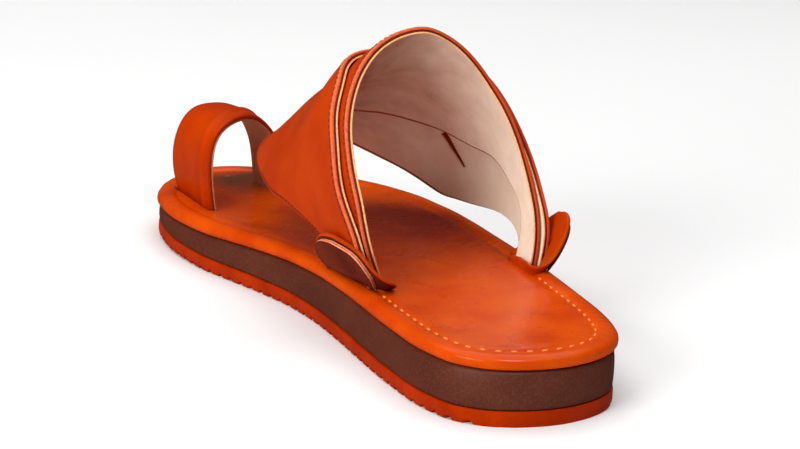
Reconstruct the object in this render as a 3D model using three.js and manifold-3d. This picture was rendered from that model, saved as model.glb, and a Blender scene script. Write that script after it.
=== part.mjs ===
// Right slip-on leather sandal: two crossed instep bands, a big toe loop and a wedge sole.
// Millimetres. X runs to the lateral side, Y to the toe, Z up from the floor.
// The origin is on the floor under the middle of the sole's length.

import * as THREE from "three";
import Module from "manifold-3d";
import { mergeVertices } from "three/addons/utils/BufferGeometryUtils.js";

const wasm = await Module();
wasm.setup();

// Driving dimensions
const soleLength = 280;
const soleWidth = 101;
const outsoleThickness = 5.4;
const wedgeHeight = 13.6;
const footbedThickness = 4.5;
const instepRise = 82.2;
const bandWall = 2.6;
const loopWall = 2.2;
const loopRise = 33.6;
const loopWidth = 37;
const loopCrown = 0.8;
const tabWall = 1.4;
const tabBackingWall = 1;
const tabReach = { medial: 19, lateral: 18.5 };
const tabMargin = 3;

// Clearances
const seatGap = 0.3;
const layerGap = 0.7;
const slotGap = 0.45;

// Details of the sole
const toeSpring = 1.9;
const springStart = 0.68;
const springPower = 1.0;
const ribPitch = 6;
const ribDepth = 1.2;
const ribLand = 3.2;
const ribSlope = 0.7;
const beadProud = 0.7;
const beadRise = 0.4;
const edgeRadius = 1.3;
const seamInset = 8.5;
const seamHalfWidth = 1.3;
const seamDepth = 0.8;
const tipTrim = 0.1;

// Details of the upper
const borderWidth = 6;
const borderStep = 0.7;
const borderSlope = 0.25;
const slitWidth = 2.4;

// How many facets the surfaces have
const soleFacets = 40;
const footbedFacets = 32;
const tipFacets = 6;
const frontBandFacets = { along: 2, across: 12 };
const backBandFacets = { along: 3, across: 9 };
const slitFacets = 4;
const rootFacets = { along: 3, across: 6 };
const loopFacets = 30;
const tabFacets = 36;
const backingFacets = 20;

// Steps along a curve, as shares of its length
const turnStep = 0.004;
const loopStep = 0.01;
const closestPlaces = 0.05;

// The sole's outline: a row per section, as shares of the sole's length and width.
const outlineRows = [
  { at: 0.0, medial: 0.0, lateral: 0.0 },
  { at: 0.031, medial: -0.252, lateral: 0.237 },
  { at: 0.071, medial: -0.326, lateral: 0.306 },
  { at: 0.143, medial: -0.357, lateral: 0.352 },
  { at: 0.214, medial: -0.355, lateral: 0.375 },
  { at: 0.286, medial: -0.344, lateral: 0.398 },
  { at: 0.357, medial: -0.331, lateral: 0.424 },
  { at: 0.429, medial: -0.324, lateral: 0.448 },
  { at: 0.5, medial: -0.335, lateral: 0.469 },
  { at: 0.571, medial: -0.373, lateral: 0.489 },
  { at: 0.643, medial: -0.428, lateral: 0.501 },
  { at: 0.714, medial: -0.479, lateral: 0.494 },
  { at: 0.786, medial: -0.497, lateral: 0.453 },
  { at: 0.857, medial: -0.476, lateral: 0.371 },
  { at: 0.929, medial: -0.388, lateral: 0.237 },
  { at: 0.957, medial: -0.32, lateral: 0.139 },
  { at: 1.0, medial: -0.1, lateral: -0.1 },
];

// The midsole's wedge: its height as a share of wedgeHeight.
const wedgeRows = [
  { at: 0.0, height: 0.97 },
  { at: 0.25, height: 1.0 },
  { at: 0.5, height: 0.816 },
  { at: 0.75, height: 0.559 },
  { at: 1.0, height: 0.301 },
];

// The last under the bands: crown and walls, as shares of soleWidth across and of
// instepRise above the footbed. The walls' x and height are where the last is widest.
const lastRows = [
  { at: 0.25, crownX: 0.03, crown: 1.18, medialX: -0.351, medial: 0.462, lateralX: 0.406, lateral: 0.292 },
  { at: 0.357, crownX: 0.03, crown: 1.115, medialX: -0.351, medial: 0.473, lateralX: 0.416, lateral: 0.303 },
  { at: 0.436, crownX: 0.04, crown: 1.015, medialX: -0.347, medial: 0.459, lateralX: 0.426, lateral: 0.3 },
  { at: 0.5, crownX: 0.04, crown: 0.8, medialX: -0.337, medial: 0.347, lateralX: 0.436, lateral: 0.249 },
  { at: 0.571, crownX: 0.045, crown: 0.715, medialX: -0.327, medial: 0.212, lateralX: 0.436, lateral: 0.163 },
  { at: 0.643, crownX: 0.05, crown: 0.585, medialX: -0.312, medial: 0.101, lateralX: 0.426, lateral: 0.077 },
  { at: 0.714, crownX: 0.05, crown: 0.445, medialX: -0.277, medial: 0.071, lateralX: 0.376, lateral: 0.046 },
  { at: 0.768, crownX: 0.05, crown: 0.35, medialX: -0.248, medial: 0.061, lateralX: 0.327, lateral: 0.043 },
  { at: 0.821, crownX: 0.05, crown: 0.282, medialX: -0.223, medial: 0.051, lateralX: 0.277, lateral: 0.027 },
];
const lastRoundness = { medial: 2.0, lateral: 1.8 };
const lastRootX = { medial: -0.243, lateral: 0.351 };
const wallTurn = 0.62;

// The bands' edges, from the medial root to the lateral root. A turn of -1 is the medial
// root, 0 the crown and 1 the lateral root; back and front are shares of soleLength.
const frontBandRows = [
  { along: 0.0, backTurn: -1.0, back: 0.3, frontTurn: -1.0, front: 0.396 },
  { along: 0.08, backTurn: -0.82, back: 0.3, frontTurn: -0.87, front: 0.405 },
  { along: 0.16, backTurn: -0.67, back: 0.337, frontTurn: -0.79, front: 0.472 },
  { along: 0.25, backTurn: -0.56, back: 0.358, frontTurn: -0.68, front: 0.532 },
  { along: 0.33, backTurn: -0.46, back: 0.386, frontTurn: -0.53, front: 0.61 },
  { along: 0.39, backTurn: -0.38, back: 0.402, frontTurn: -0.45, front: 0.666 },
  { along: 0.45, backTurn: -0.29, back: 0.434, frontTurn: -0.37, front: 0.719 },
  { along: 0.51, backTurn: -0.17, back: 0.463, frontTurn: -0.26, front: 0.753 },
  { along: 0.57, backTurn: -0.05, back: 0.478, frontTurn: -0.11, front: 0.772 },
  { along: 0.63, backTurn: 0.08, back: 0.48, frontTurn: 0.05, front: 0.782 },
  { along: 0.69, backTurn: 0.2, back: 0.463, frontTurn: 0.19, front: 0.782 },
  { along: 0.75, backTurn: 0.33, back: 0.439, frontTurn: 0.3, front: 0.774 },
  { along: 0.81, backTurn: 0.42, back: 0.418, frontTurn: 0.41, front: 0.747 },
  { along: 0.86, backTurn: 0.495, back: 0.394, frontTurn: 0.5, front: 0.702 },
  { along: 0.9, backTurn: 0.58, back: 0.361, frontTurn: 0.61, front: 0.63 },
  { along: 0.935, backTurn: 0.69, back: 0.33, frontTurn: 0.74, front: 0.525 },
  { along: 0.955, backTurn: 0.78, back: 0.314, frontTurn: 0.775, front: 0.45 },
  { along: 0.97, backTurn: 0.84, back: 0.309, frontTurn: 0.785, front: 0.395 },
  { along: 0.985, backTurn: 0.92, back: 0.306, frontTurn: 0.84, front: 0.366 },
  { along: 1.0, backTurn: 1.0, back: 0.304, frontTurn: 1.0, front: 0.36 },
];
const backBandRows = [
  { along: 0.0, backTurn: -1.0, back: 0.3, frontTurn: -1.0, front: 0.38 },
  { along: 0.08, backTurn: -0.86, back: 0.3, frontTurn: -0.86, front: 0.384 },
  { along: 0.16, backTurn: -0.72, back: 0.304, frontTurn: -0.74, front: 0.4 },
  { along: 0.24, backTurn: -0.58, back: 0.335, frontTurn: -0.61, front: 0.443 },
  { along: 0.31, backTurn: -0.5, back: 0.358, frontTurn: -0.48, front: 0.504 },
  { along: 0.38, backTurn: -0.4, back: 0.379, frontTurn: -0.34, front: 0.571 },
  { along: 0.45, backTurn: -0.26, back: 0.402, frontTurn: -0.2, front: 0.625 },
  { along: 0.52, backTurn: -0.12, back: 0.418, frontTurn: -0.06, front: 0.657 },
  { along: 0.58, backTurn: 0.0, back: 0.422, frontTurn: 0.06, front: 0.662 },
  { along: 0.65, backTurn: 0.13, back: 0.427, frontTurn: 0.17, front: 0.646 },
  { along: 0.72, backTurn: 0.25, back: 0.43, frontTurn: 0.29, front: 0.613 },
  { along: 0.78, backTurn: 0.34, back: 0.416, frontTurn: 0.39, front: 0.564 },
  { along: 0.84, backTurn: 0.43, back: 0.395, frontTurn: 0.48, front: 0.509 },
  { along: 0.89, backTurn: 0.54, back: 0.368, frontTurn: 0.59, front: 0.421 },
  { along: 0.93, backTurn: 0.66, back: 0.338, frontTurn: 0.69, front: 0.371 },
  { along: 0.965, backTurn: 0.83, back: 0.316, frontTurn: 0.83, front: 0.354 },
  { along: 1.0, backTurn: 1.0, back: 0.304, frontTurn: 1.0, front: 0.35 },
];

// The slit in the front band's lateral side: its two ends and its widest place.
const slitRows = [
  { along: 0.0, turn: 0.395, at: 0.587, width: 0.25 },
  { along: 0.5, turn: 0.468, at: 0.578, width: 1.0 },
  { along: 1.0, turn: 0.54, at: 0.562, width: 0.5 },
];

// The turns between which a root's slot is cut.
const slotTurn = { throughTab: 0.6, high: 0.88, low: 1.12 };

// The big toe loop from its medial to its lateral root: back as a share of soleLength, width
// as a share of loopWidth, and both edges' x as a share of soleWidth and height as a share
// of loopRise above the footbed.
const loopRows = [
  { along: 0.0, backX: -0.347, back: 0.766, backUp: -0.13, frontX: -0.335, width: 1.015, frontUp: -0.13 },
  { along: 0.1, backX: -0.367, back: 0.764, backUp: 0.2, frontX: -0.375, width: 1.015, frontUp: 0.2 },
  { along: 0.2, backX: -0.372, back: 0.766, backUp: 0.52, frontX: -0.385, width: 0.962, frontUp: 0.52 },
  { along: 0.3, backX: -0.345, back: 0.775, backUp: 0.8, frontX: -0.355, width: 0.871, frontUp: 0.84 },
  { along: 0.4, backX: -0.27, back: 0.793, backUp: 0.94, frontX: -0.29, width: 0.735, frontUp: 1.0 },
  { along: 0.5, backX: -0.19, back: 0.815, backUp: 0.96, frontX: -0.205, width: 0.591, frontUp: 1.0 },
  { along: 0.6, backX: -0.11, back: 0.835, backUp: 0.9, frontX: -0.13, width: 0.462, frontUp: 0.93 },
  { along: 0.7, backX: -0.04, back: 0.849, backUp: 0.76, frontX: -0.08, width: 0.402, frontUp: 0.75 },
  { along: 0.8, backX: 0.012, back: 0.855, backUp: 0.53, frontX: -0.043, width: 0.394, frontUp: 0.5 },
  { along: 0.9, backX: 0.03, back: 0.855, backUp: 0.22, frontX: -0.028, width: 0.409, frontUp: 0.2 },
  { along: 1.0, backX: 0.035, back: 0.855, backUp: -0.13, frontX: -0.018, width: 0.402, frontUp: -0.13 },
];

// How far along the loop its slots reach from either end.
const loopRootReach = 0.12;

// The tab around a root: from the middle of its outer side (0) to the middle of the
// foot's side (1), its reach and its rise as shares of tabReach and tabRise.
const tabRows = [
  { around: 0.0, reach: 1.0, rise: 1.0 },
  { around: 0.15, reach: 0.97, rise: 1.0 },
  { around: 0.22, reach: 0.85, rise: 0.96 },
  { around: 0.3, reach: 0.64, rise: 0.86 },
  { around: 0.4, reach: 0.42, rise: 0.64 },
  { around: 0.5, reach: 0.28, rise: 0.42 },
  { around: 0.62, reach: 0.2, rise: 0.25 },
  { around: 0.8, reach: 0.15, rise: 0.14 },
  { around: 1.0, reach: 0.14, rise: 0.1 },
];
const tabRise = { medial: 68, lateral: 66 };
const tabSkew = { medial: 0, lateral: 3 };
const tabTurn = 0.924;
const tabFrontFall = 0.4;
const tabRoundness = 3.2;
const tabFlare = 0.04;
const tabEndFlare = 0.35;
const backingSpan = 0.38;
const backingReach = 0.97;
const backingStart = 0.25;

const colours = {
  rubber: 0xc8390a,
  foam: 0x70382a,
  footbed: 0xd44e14,
  leather: 0xc53c06,
  backing: 0x5a2a1a,
};

// A smooth curve through one column of a table that never overshoots its rows.
function smooth(rows, key, column) {
  const place = rows.map((row) => row[key]);
  const value = rows.map((row) => row[column]);
  const slope = place.slice(1).map((end, i) => (value[i + 1] - value[i]) / (end - place[i]));
  const tangent = place.map((_, i) => {
    const before = slope[Math.max(i - 1, 0)];
    const after = slope[Math.min(i, slope.length - 1)];
    return before * after <= 0 ? 0 : (2 * before * after) / (before + after);
  });
  return (wanted) => {
    const inside = Math.min(Math.max(wanted, place[0]), place[place.length - 1]);
    const i = Math.min(place.findLastIndex((start) => start <= inside), slope.length - 1);
    const span = place[i + 1] - place[i];
    const t = (inside - place[i]) / span;
    const rise = value[i + 1] - value[i];
    const bend = span * (tangent[i] * (1 - t) - tangent[i + 1] * t) - rise * (1 - 2 * t);
    return value[i] + rise * t + t * (1 - t) * bend;
  };
}

function columns(rows, key) {
  const names = Object.keys(rows[0]).filter((name) => name !== key);
  return Object.fromEntries(names.map((name) => [name, smooth(rows, key, name)]));
}

// Shapes of the sole. Their argument is the share of the sole's length from the heel.
const halfTurn = (at) => Math.acos(1 - 2 * Math.min(Math.max(at, 0), 1)) / Math.PI;
const roundedRows = outlineRows.map((row) => ({ ...row, at: halfTurn(row.at) }));
const outline = columns(roundedRows, "at");
const wedge = smooth(wedgeRows, "at", "height");

function spring(at) {
  const beyond = Math.max(at - springStart, 0) / (1 - springStart);
  return toeSpring * beyond ** springPower;
}

const alongY = (at) => (at - 0.5) * soleLength;
const shareOf = (y) => y / soleLength + 0.5;
const outsoleTop = (at) => spring(at) + outsoleThickness;
const midsoleTop = (at) => outsoleTop(at) + seatGap + wedgeHeight * wedge(at);
const footbedTop = (at) => midsoleTop(at) + seatGap + footbedThickness;

// Turns a list of triangles into a closed geometry with its faces out.
function closedGeometry(vertices, triangles) {
  let volume = 0;
  for (const [a, b, c] of triangles) {
    volume += vertices[a].dot(new THREE.Vector3().crossVectors(vertices[b], vertices[c]));
  }
  const facing = volume < 0 ? triangles.map(([a, b, c]) => [a, c, b]) : triangles;
  const geometry = new THREE.BufferGeometry().setFromPoints(vertices);
  geometry.setIndex(facing.flat());
  return geometry;
}

function quad(triangles, a, b, c, d) {
  triangles.push([a, b, c], [a, c, d]);
}

// A wall between an outer and an inner sheet, each a function of a place in a grid.
function wallGeometry(places, across, outerPoint, innerPoint) {
  const vertices = [];
  const triangles = [];
  for (const sheet of [outerPoint, innerPoint]) {
    for (const place of places) {
      for (const share of across) {
        vertices.push(sheet(place, share));
      }
    }
  }
  const width = across.length;
  const inner = places.length * width;
  for (let i = 0; i + 1 < places.length; i += 1) {
    const row = i * width;
    for (let j = 0; j + 1 < width; j += 1) {
      const a = row + j;
      quad(triangles, a, a + 1, a + width + 1, a + width);
      quad(triangles, inner + a, inner + a + width, inner + a + width + 1, inner + a + 1);
    }
    const last = row + width - 1;
    quad(triangles, row, row + width, inner + row + width, inner + row);
    quad(triangles, last, inner + last, inner + last + width, last + width);
  }
  const end = inner - width;
  for (let j = 0; j + 1 < width; j += 1) {
    quad(triangles, j, inner + j, inner + j + 1, j + 1);
    quad(triangles, end + j, end + j + 1, inner + end + j + 1, inner + end + j);
  }
  return closedGeometry(vertices, triangles);
}

// A body of stacked rings. Each ring lists its points from the heel along the medial side
// to the toe and back along the lateral side, so that its two ends face each other.
function stackGeometry(rings) {
  const vertices = rings.flat();
  const triangles = [];
  const count = rings[0].length;
  for (let k = 0; k + 1 < rings.length; k += 1) {
    for (let i = 0; i < count; i += 1) {
      const next = (i + 1) % count;
      quad(triangles, k * count + i, k * count + next, (k + 1) * count + next, (k + 1) * count + i);
    }
  }
  for (const [start, turned] of [[0, true], [(rings.length - 1) * count, false]]) {
    for (let i = 0; i + 1 < count / 2; i += 1) {
      const corner = [i, i + 1, count - 2 - i, count - 1 - i].map((index) => start + index);
      const [a, b, c, d] = turned ? [...corner].reverse() : corner;
      quad(triangles, a, b, c, d);
    }
  }
  return closedGeometry(vertices, triangles);
}

function toSolid(geometry) {
  const bare = geometry.clone();
  for (const name of Object.keys(bare.attributes)) {
    if (name !== "position") {
      bare.deleteAttribute(name);
    }
  }
  const merged = mergeVertices(bare);
  const mesh = new wasm.Mesh({
    numProp: 3,
    vertProperties: new Float32Array(merged.attributes.position.array),
    triVerts: new Uint32Array(merged.index.array),
  });
  mesh.merge();
  return new wasm.Manifold(mesh);
}

function toGeometry(solid) {
  const mesh = solid.getMesh();
  const geometry = new THREE.BufferGeometry();
  geometry.setAttribute("position", new THREE.BufferAttribute(mesh.vertProperties, 3));
  geometry.setIndex(new THREE.BufferAttribute(mesh.triVerts, 1));
  return geometry;
}

function cut(geometry, tools) {
  let solid = toSolid(geometry);
  for (const tool of tools) {
    solid = solid.subtract(toSolid(tool));
  }
  return toGeometry(solid);
}

const spread = (count) => Array.from({ length: count + 1 }, (_, i) => i / count);

// Sole

function outlinePoint(angleShare, inset) {
  const place = (share) => {
    const inside = Math.min(share, 2 - share);
    const column = share <= 1 ? outline.medial : outline.lateral;
    const at = (1 - Math.cos(Math.PI * inside)) / 2;
    return new THREE.Vector2(column(inside) * soleWidth, alongY(at));
  };
  const ahead = place((angleShare + turnStep) % 2);
  const behind = place((angleShare - turnStep + 2) % 2);
  const along = ahead.sub(behind).normalize();
  return place(angleShare).add(new THREE.Vector2(along.y, -along.x).multiplyScalar(inset));
}

function ring(count, inset, height) {
  return Array.from({ length: 2 * count }, (_, i) => {
    const point = outlinePoint((i + 0.5) / count, inset);
    return new THREE.Vector3(point.x, point.y, height(shareOf(point.y)));
  });
}

function outsoleGeometry() {
  const places = new Set();
  const tipLength = 2 * ribPitch;
  for (const share of spread(tipFacets)) {
    const y = soleLength / 2 - tipTrim - tipLength * (1 - Math.sin((Math.PI / 2) * share));
    places.add(y);
    places.add(-y);
  }
  const ribs = Math.floor((soleLength / 2 - ribLand) / ribPitch);
  const landEnd = ribLand / 2;
  const landStart = ribPitch - landEnd;
  const edges = [landEnd, landEnd + ribSlope, landStart - ribSlope, landStart];
  for (let rib = -ribs; rib < ribs; rib += 1) {
    for (const edge of edges) {
      places.add(rib * ribPitch + edge);
    }
  }
  const groove = (y) => {
    const inPitch = Math.abs(y - Math.round(y / ribPitch) * ribPitch);
    return ribDepth * THREE.MathUtils.clamp((inPitch - landEnd) / ribSlope, 0, 1);
  };
  const sorted = [...places].sort((a, b) => a - b);
  const apart = sorted.filter((y, i) => i === 0 || y - sorted[i - 1] > closestPlaces);
  const side = (y, column) => outline[column](halfTurn(shareOf(y))) * soleWidth;
  const outerPoint = (y, share) => {
    const x = THREE.MathUtils.lerp(side(y, "medial"), side(y, "lateral"), share);
    return new THREE.Vector3(x, y, outsoleTop(shareOf(y)));
  };
  const innerPoint = (y, share) => {
    const beyondRibs = Math.abs(y) > ribs * ribPitch;
    const point = outerPoint(y, share);
    return point.setZ(spring(shareOf(y)) + (beyondRibs ? 0 : groove(y)));
  };
  return wallGeometry(apart, [0, 1], outerPoint, innerPoint);
}

function midsoleGeometry() {
  const low = ring(soleFacets, 0, (at) => outsoleTop(at) + seatGap);
  const high = ring(soleFacets, 0, midsoleTop);
  return stackGeometry([low, high]);
}

// The footbed's edge from below to the seam round its top: inset from the outline, height as
// a share of footbedThickness and how far it stands proud of that.
const footbedProfile = [
  { inset: edgeRadius, height: 0 },
  { inset: -0.55 * beadProud, height: 0.16 },
  { inset: -beadProud, height: 0.5 },
  { inset: -0.5 * beadProud, height: 0.86 },
  { inset: edgeRadius, height: 1, proud: beadRise },
  { inset: 0.5 * seamInset, height: 1, proud: beadRise },
  { inset: seamInset - seamHalfWidth, height: 1, proud: 0 },
  { inset: seamInset, height: 1, proud: -seamDepth },
  { inset: seamInset + seamHalfWidth, height: 1, proud: 0 },
];

function footbedGeometry() {
  const rings = footbedProfile.map(({ inset, height, proud = 0 }) =>
    ring(footbedFacets, inset, (at) => midsoleTop(at) + seatGap + height * footbedThickness + proud),
  );
  return stackGeometry(rings);
}

// Upper

const last = columns(lastRows, "at");

// A point of the last, by its turn from the crown and its share of the sole's length.
function lastPoint(turn, at) {
  const side = turn < 0 ? "medial" : "lateral";
  const wallX = last[`${side}X`](at) * soleWidth;
  const crownX = last.crownX(at) * soleWidth;
  const wallHeight = footbedTop(at) + last[side](at) * instepRise;
  const crownHeight = footbedTop(at) + last.crown(at) * instepRise;
  const away = Math.abs(turn);
  if (away <= wallTurn) {
    const angle = (away / wallTurn) * (Math.PI / 2);
    const power = 2 / lastRoundness[side];
    const x = crownX + (wallX - crownX) * Math.sin(angle) ** power;
    const z = wallHeight + (crownHeight - wallHeight) * Math.max(Math.cos(angle), 0) ** power;
    return new THREE.Vector3(x, alongY(at), z);
  }
  const below = (away - wallTurn) / (1 - wallTurn);
  const rootHeight = midsoleTop(at) + seatGap;
  const x = wallX + (lastRootX[side] * soleWidth - wallX) * below ** 2;
  return new THREE.Vector3(x, alongY(at), wallHeight + (rootHeight - wallHeight) * below);
}

function offsetLast(turn, at, offset) {
  const acrossStep = lastPoint(turn + turnStep, at).sub(lastPoint(turn - turnStep, at));
  const alongStep = lastPoint(turn, at + turnStep).sub(lastPoint(turn, at - turnStep));
  const normal = acrossStep.cross(alongStep).normalize();
  return lastPoint(turn, at).addScaledVector(normal, offset);
}

// The places of a table's rows, with each interval between two rows split into steps.
function placesOf(rows, steps) {
  const between = rows.slice(1).flatMap((row, i) => {
    const start = rows[i].along;
    return spread(steps).slice(1).map((share) => THREE.MathUtils.lerp(start, row.along, share));
  });
  return [rows[0].along, ...between];
}

// A band between its two edges, with its inner face at an offset from the last.
function bandGeometry(rows, facets, innerOffset) {
  const edge = columns(rows, "along");
  const sheet = (offset) => (along, share) => {
    const turn = THREE.MathUtils.lerp(edge.backTurn(along), edge.frontTurn(along), share);
    const at = THREE.MathUtils.lerp(edge.back(along), edge.front(along), share);
    const point = offsetLast(turn, at, offset);
    return point.setZ(Math.max(point.z, midsoleTop(shareOf(point.y)) + seatGap));
  };
  const outer = sheet(innerOffset + bandWall);
  return wallGeometry(placesOf(rows, facets.along), spread(facets.across), outer, sheet(innerOffset));
}

const frontInner = layerGap / 2;
const backInner = -layerGap / 2 - bandWall;

function frontBandGeometry() {
  const slit = columns(slitRows, "along");
  const reach = 2 * bandWall;
  const side = (offset) => (along, share) => {
    const half = (slit.width(along) * slitWidth) / 2 / soleLength;
    const at = slit.at(along) + THREE.MathUtils.lerp(-half, half, share);
    return offsetLast(slit.turn(along), at, offset);
  };
  const outer = side(frontInner + reach);
  const slitTool = wallGeometry(spread(slitFacets), [0, 1], outer, side(frontInner - reach / 2));
  return cut(bandGeometry(frontBandRows, frontBandFacets, frontInner), [slitTool]);
}

// How far the two bands reach along the sole where they enter the footbed.
function rootSpan(side) {
  const turned = (turn) => (side === "medial" ? -turn : turn) > slotTurn.high;
  const backs = [];
  const fronts = [];
  for (const rows of [frontBandRows, backBandRows]) {
    const edge = columns(rows, "along");
    const places = spread(1 / turnStep);
    const backPlaces = places.filter((along) => turned(edge.backTurn(along)));
    const frontPlaces = places.filter((along) => turned(edge.frontTurn(along)));
    backs.push(...backPlaces.map(edge.back));
    fronts.push(...frontPlaces.map(edge.front));
  }
  return { back: Math.min(...backs), front: Math.max(...fronts) };
}

const roots = { medial: rootSpan("medial"), lateral: rootSpan("lateral") };

// The space that the two bands' roots fill on one side, with clearance all round.
function rootTool(side, high) {
  const sign = side === "medial" ? -1 : 1;
  const root = roots[side];
  const margin = slotGap / soleLength;
  const sheet = (offset) => (turn, share) => {
    const at = THREE.MathUtils.lerp(root.back - margin, root.front + margin, share);
    return offsetLast(sign * turn, at, offset);
  };
  const turns = spread(rootFacets.across).map((share) => THREE.MathUtils.lerp(high, slotTurn.low, share));
  const outer = frontInner + bandWall + slotGap;
  const inner = backInner - slotGap;
  return wallGeometry(turns, spread(rootFacets.along), sheet(outer), sheet(inner));
}

// Big toe loop

const loop = columns(loopRows, "along");

function loopPoint(along, share) {
  const at = loop.back(along) + (share * loop.width(along) * loopWidth) / soleLength;
  const x = THREE.MathUtils.lerp(loop.backX(along), loop.frontX(along), share) * soleWidth;
  const up = THREE.MathUtils.lerp(loop.backUp(along), loop.frontUp(along), share);
  const crowned = up > 0 ? loopCrown * Math.sin(Math.PI * share) : 0;
  return new THREE.Vector3(x, alongY(at), footbedTop(at) + up * loopRise + crowned);
}

function offsetLoop(along, share, offset) {
  const next = (value) => Math.min(value + loopStep, 1);
  const previous = (value) => Math.max(value - loopStep, 0);
  const around = loopPoint(next(along), share).sub(loopPoint(previous(along), share));
  const across = loopPoint(along, next(share)).sub(loopPoint(along, previous(share)));
  return loopPoint(along, share).addScaledVector(around.cross(across).normalize(), offset);
}

function toeLoopGeometry() {
  const edge = borderWidth / loopWidth;
  const slope = borderSlope * edge;
  const across = [0, slope, edge, edge + slope, 0.5, 0.75, 1];
  const raised = (share) => borderStep * THREE.MathUtils.clamp((edge + slope - share) / slope, 0, 1);
  const border = (share) => (share === 0 ? 0 : raised(share));
  const outer = (along, share) => offsetLoop(along, share, loopWall / 2 + border(share));
  const inner = (along, share) => offsetLoop(along, share, -loopWall / 2);
  return wallGeometry(spread(loopFacets), across, outer, inner);
}

// The space that one of the loop's two roots fills, with clearance all round.
function loopRootTool(start, end) {
  const reach = loopWall / 2 + slotGap;
  const low = -slotGap / loopWidth;
  const beyond = 3 * seatGap;
  const sheet = (offset) => (along, share) => {
    const inside = THREE.MathUtils.clamp(share, 0, 1);
    const point = offsetLoop(along, inside, offset);
    point.y += Math.sign(share - inside) * slotGap;
    const atRoot = along === 0 || along === 1;
    return atRoot ? point.setZ(point.z - beyond) : point;
  };
  const places = spread(rootFacets.along).map((share) => THREE.MathUtils.lerp(start, end, share));
  return wallGeometry(places, [low, 0.5, 1 - low], sheet(reach + borderStep), sheet(-reach));
}

// Tabs

const tab = columns(tabRows, "around");

// The frame of a tab's section at an angle round its slot: 0 points out from the foot.
function tabFrame(side, angle) {
  const sign = side === "medial" ? -1 : 1;
  const root = roots[side];
  const middle = (root.back + root.front) / 2;
  const halfLength = ((root.front - root.back) * soleLength) / 2 + tabMargin;
  const halfWidth = bandWall + layerGap / 2 + 2 * slotGap;
  const corner = (value) => Math.sign(value) * Math.abs(value) ** (2 / tabRoundness);
  const out = Math.cos(angle);
  const ahead = Math.sin(angle);
  const around = Math.abs(Math.atan2(ahead, out)) / Math.PI;
  const rise = THREE.MathUtils.degToRad(tab.rise(around) * tabRise[side]);
  const plan = new THREE.Vector3(sign * out, ahead * tabEndFlare, 0).normalize();
  const up = new THREE.Vector3(0, 0, 1);
  const centre = lastPoint(sign * tabTurn, middle).x;
  const y = alongY(middle) + corner(ahead) * halfLength;
  const seat = footbedTop(shareOf(y)) + beadRise + seatGap;
  const base = new THREE.Vector3(
    centre + sign * (corner(out) * halfWidth + (tabSkew[side] * (corner(ahead) - 1)) / 2),
    y,
    seat + tabWall * Math.cos(rise),
  );
  const along = plan.clone().multiplyScalar(Math.cos(rise)).addScaledVector(up, Math.sin(rise));
  const below = plan.clone().multiplyScalar(Math.sin(rise)).addScaledVector(up, -Math.cos(rise));
  const reach = tab.reach(around) * tabReach[side] * (1 - tabFrontFall * Math.max(ahead, 0) ** 2);
  return { base, along, below, reach };
}

function tabPoint(side, angle, share, depth) {
  const { base, along, below, reach } = tabFrame(side, angle);
  const flare = tabFlare * reach * share ** 2;
  return base.clone().addScaledVector(along, share * reach).addScaledVector(below, depth + flare);
}

// A body whose section is a closed loop that travels round a closed path.
function loopGeometry(sections) {
  const vertices = sections.flat();
  const triangles = [];
  const count = sections[0].length;
  for (let k = 0; k < sections.length; k += 1) {
    const row = k * count;
    const nextRow = ((k + 1) % sections.length) * count;
    for (let i = 0; i < count; i += 1) {
      const next = (i + 1) % count;
      quad(triangles, row + i, row + next, nextRow + next, nextRow + i);
    }
  }
  return closedGeometry(vertices, triangles);
}

function tabGeometry(side) {
  const shares = [0, 0.35, 0.7, 1];
  const sections = Array.from({ length: tabFacets }, (_, i) => {
    const angle = (2 * Math.PI * i) / tabFacets;
    const face = shares.map((share) => tabPoint(side, angle, share, 0));
    const back = shares.map((share) => tabPoint(side, angle, share, tabWall)).reverse();
    return [...face, ...back];
  });
  return cut(loopGeometry(sections), [rootTool(side, slotTurn.throughTab)]);
}

function tabBackingGeometry(side) {
  const sheet = (depth) => (turn, share) => {
    const taken = THREE.MathUtils.lerp(backingStart, backingReach, share);
    return tabPoint(side, turn * backingSpan * Math.PI, taken, depth);
  };
  const places = spread(backingFacets).map((share) => 2 * share - 1);
  const inner = tabWall + layerGap;
  return wallGeometry(places, spread(3), sheet(inner + tabBackingWall), sheet(inner));
}

const parts = [
  { name: "outsole", colour: colours.rubber, roughness: 0.6, make: outsoleGeometry },
  { name: "midsole", colour: colours.foam, roughness: 0.8, make: midsoleGeometry },
  {
    name: "footbed",
    colour: colours.footbed,
    roughness: 0.35,
    make: () =>
      cut(footbedGeometry(), [
        rootTool("medial", slotTurn.high),
        rootTool("lateral", slotTurn.high),
        loopRootTool(0, loopRootReach),
        loopRootTool(1, 1 - loopRootReach),
      ]),
  },
  {
    name: "back_band",
    colour: colours.leather,
    roughness: 0.45,
    make: () => bandGeometry(backBandRows, backBandFacets, backInner),
  },
  { name: "front_band", colour: colours.leather, roughness: 0.45, make: frontBandGeometry },
  { name: "toe_loop", colour: colours.leather, roughness: 0.45, make: toeLoopGeometry },
  { name: "tab_medial", colour: colours.leather, roughness: 0.4, make: () => tabGeometry("medial") },
  { name: "tab_lateral", colour: colours.leather, roughness: 0.4, make: () => tabGeometry("lateral") },
  {
    name: "tab_medial_backing",
    colour: colours.backing,
    roughness: 0.8,
    make: () => tabBackingGeometry("medial"),
  },
  {
    name: "tab_lateral_backing",
    colour: colours.backing,
    roughness: 0.8,
    make: () => tabBackingGeometry("lateral"),
  },
];

const sandal = new THREE.Group();
sandal.name = "sandal";
for (const { name, colour, roughness, make } of parts) {
  const material = new THREE.MeshStandardMaterial({ color: colour, roughness, metalness: 0 });
  const mesh = new THREE.Mesh(make(), material);
  mesh.name = name;
  sandal.add(mesh);
}

export default sandal;
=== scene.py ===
import math
from functools import partial

import bmesh
import bpy
import numpy as np
from mathutils import Matrix, Vector


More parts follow.
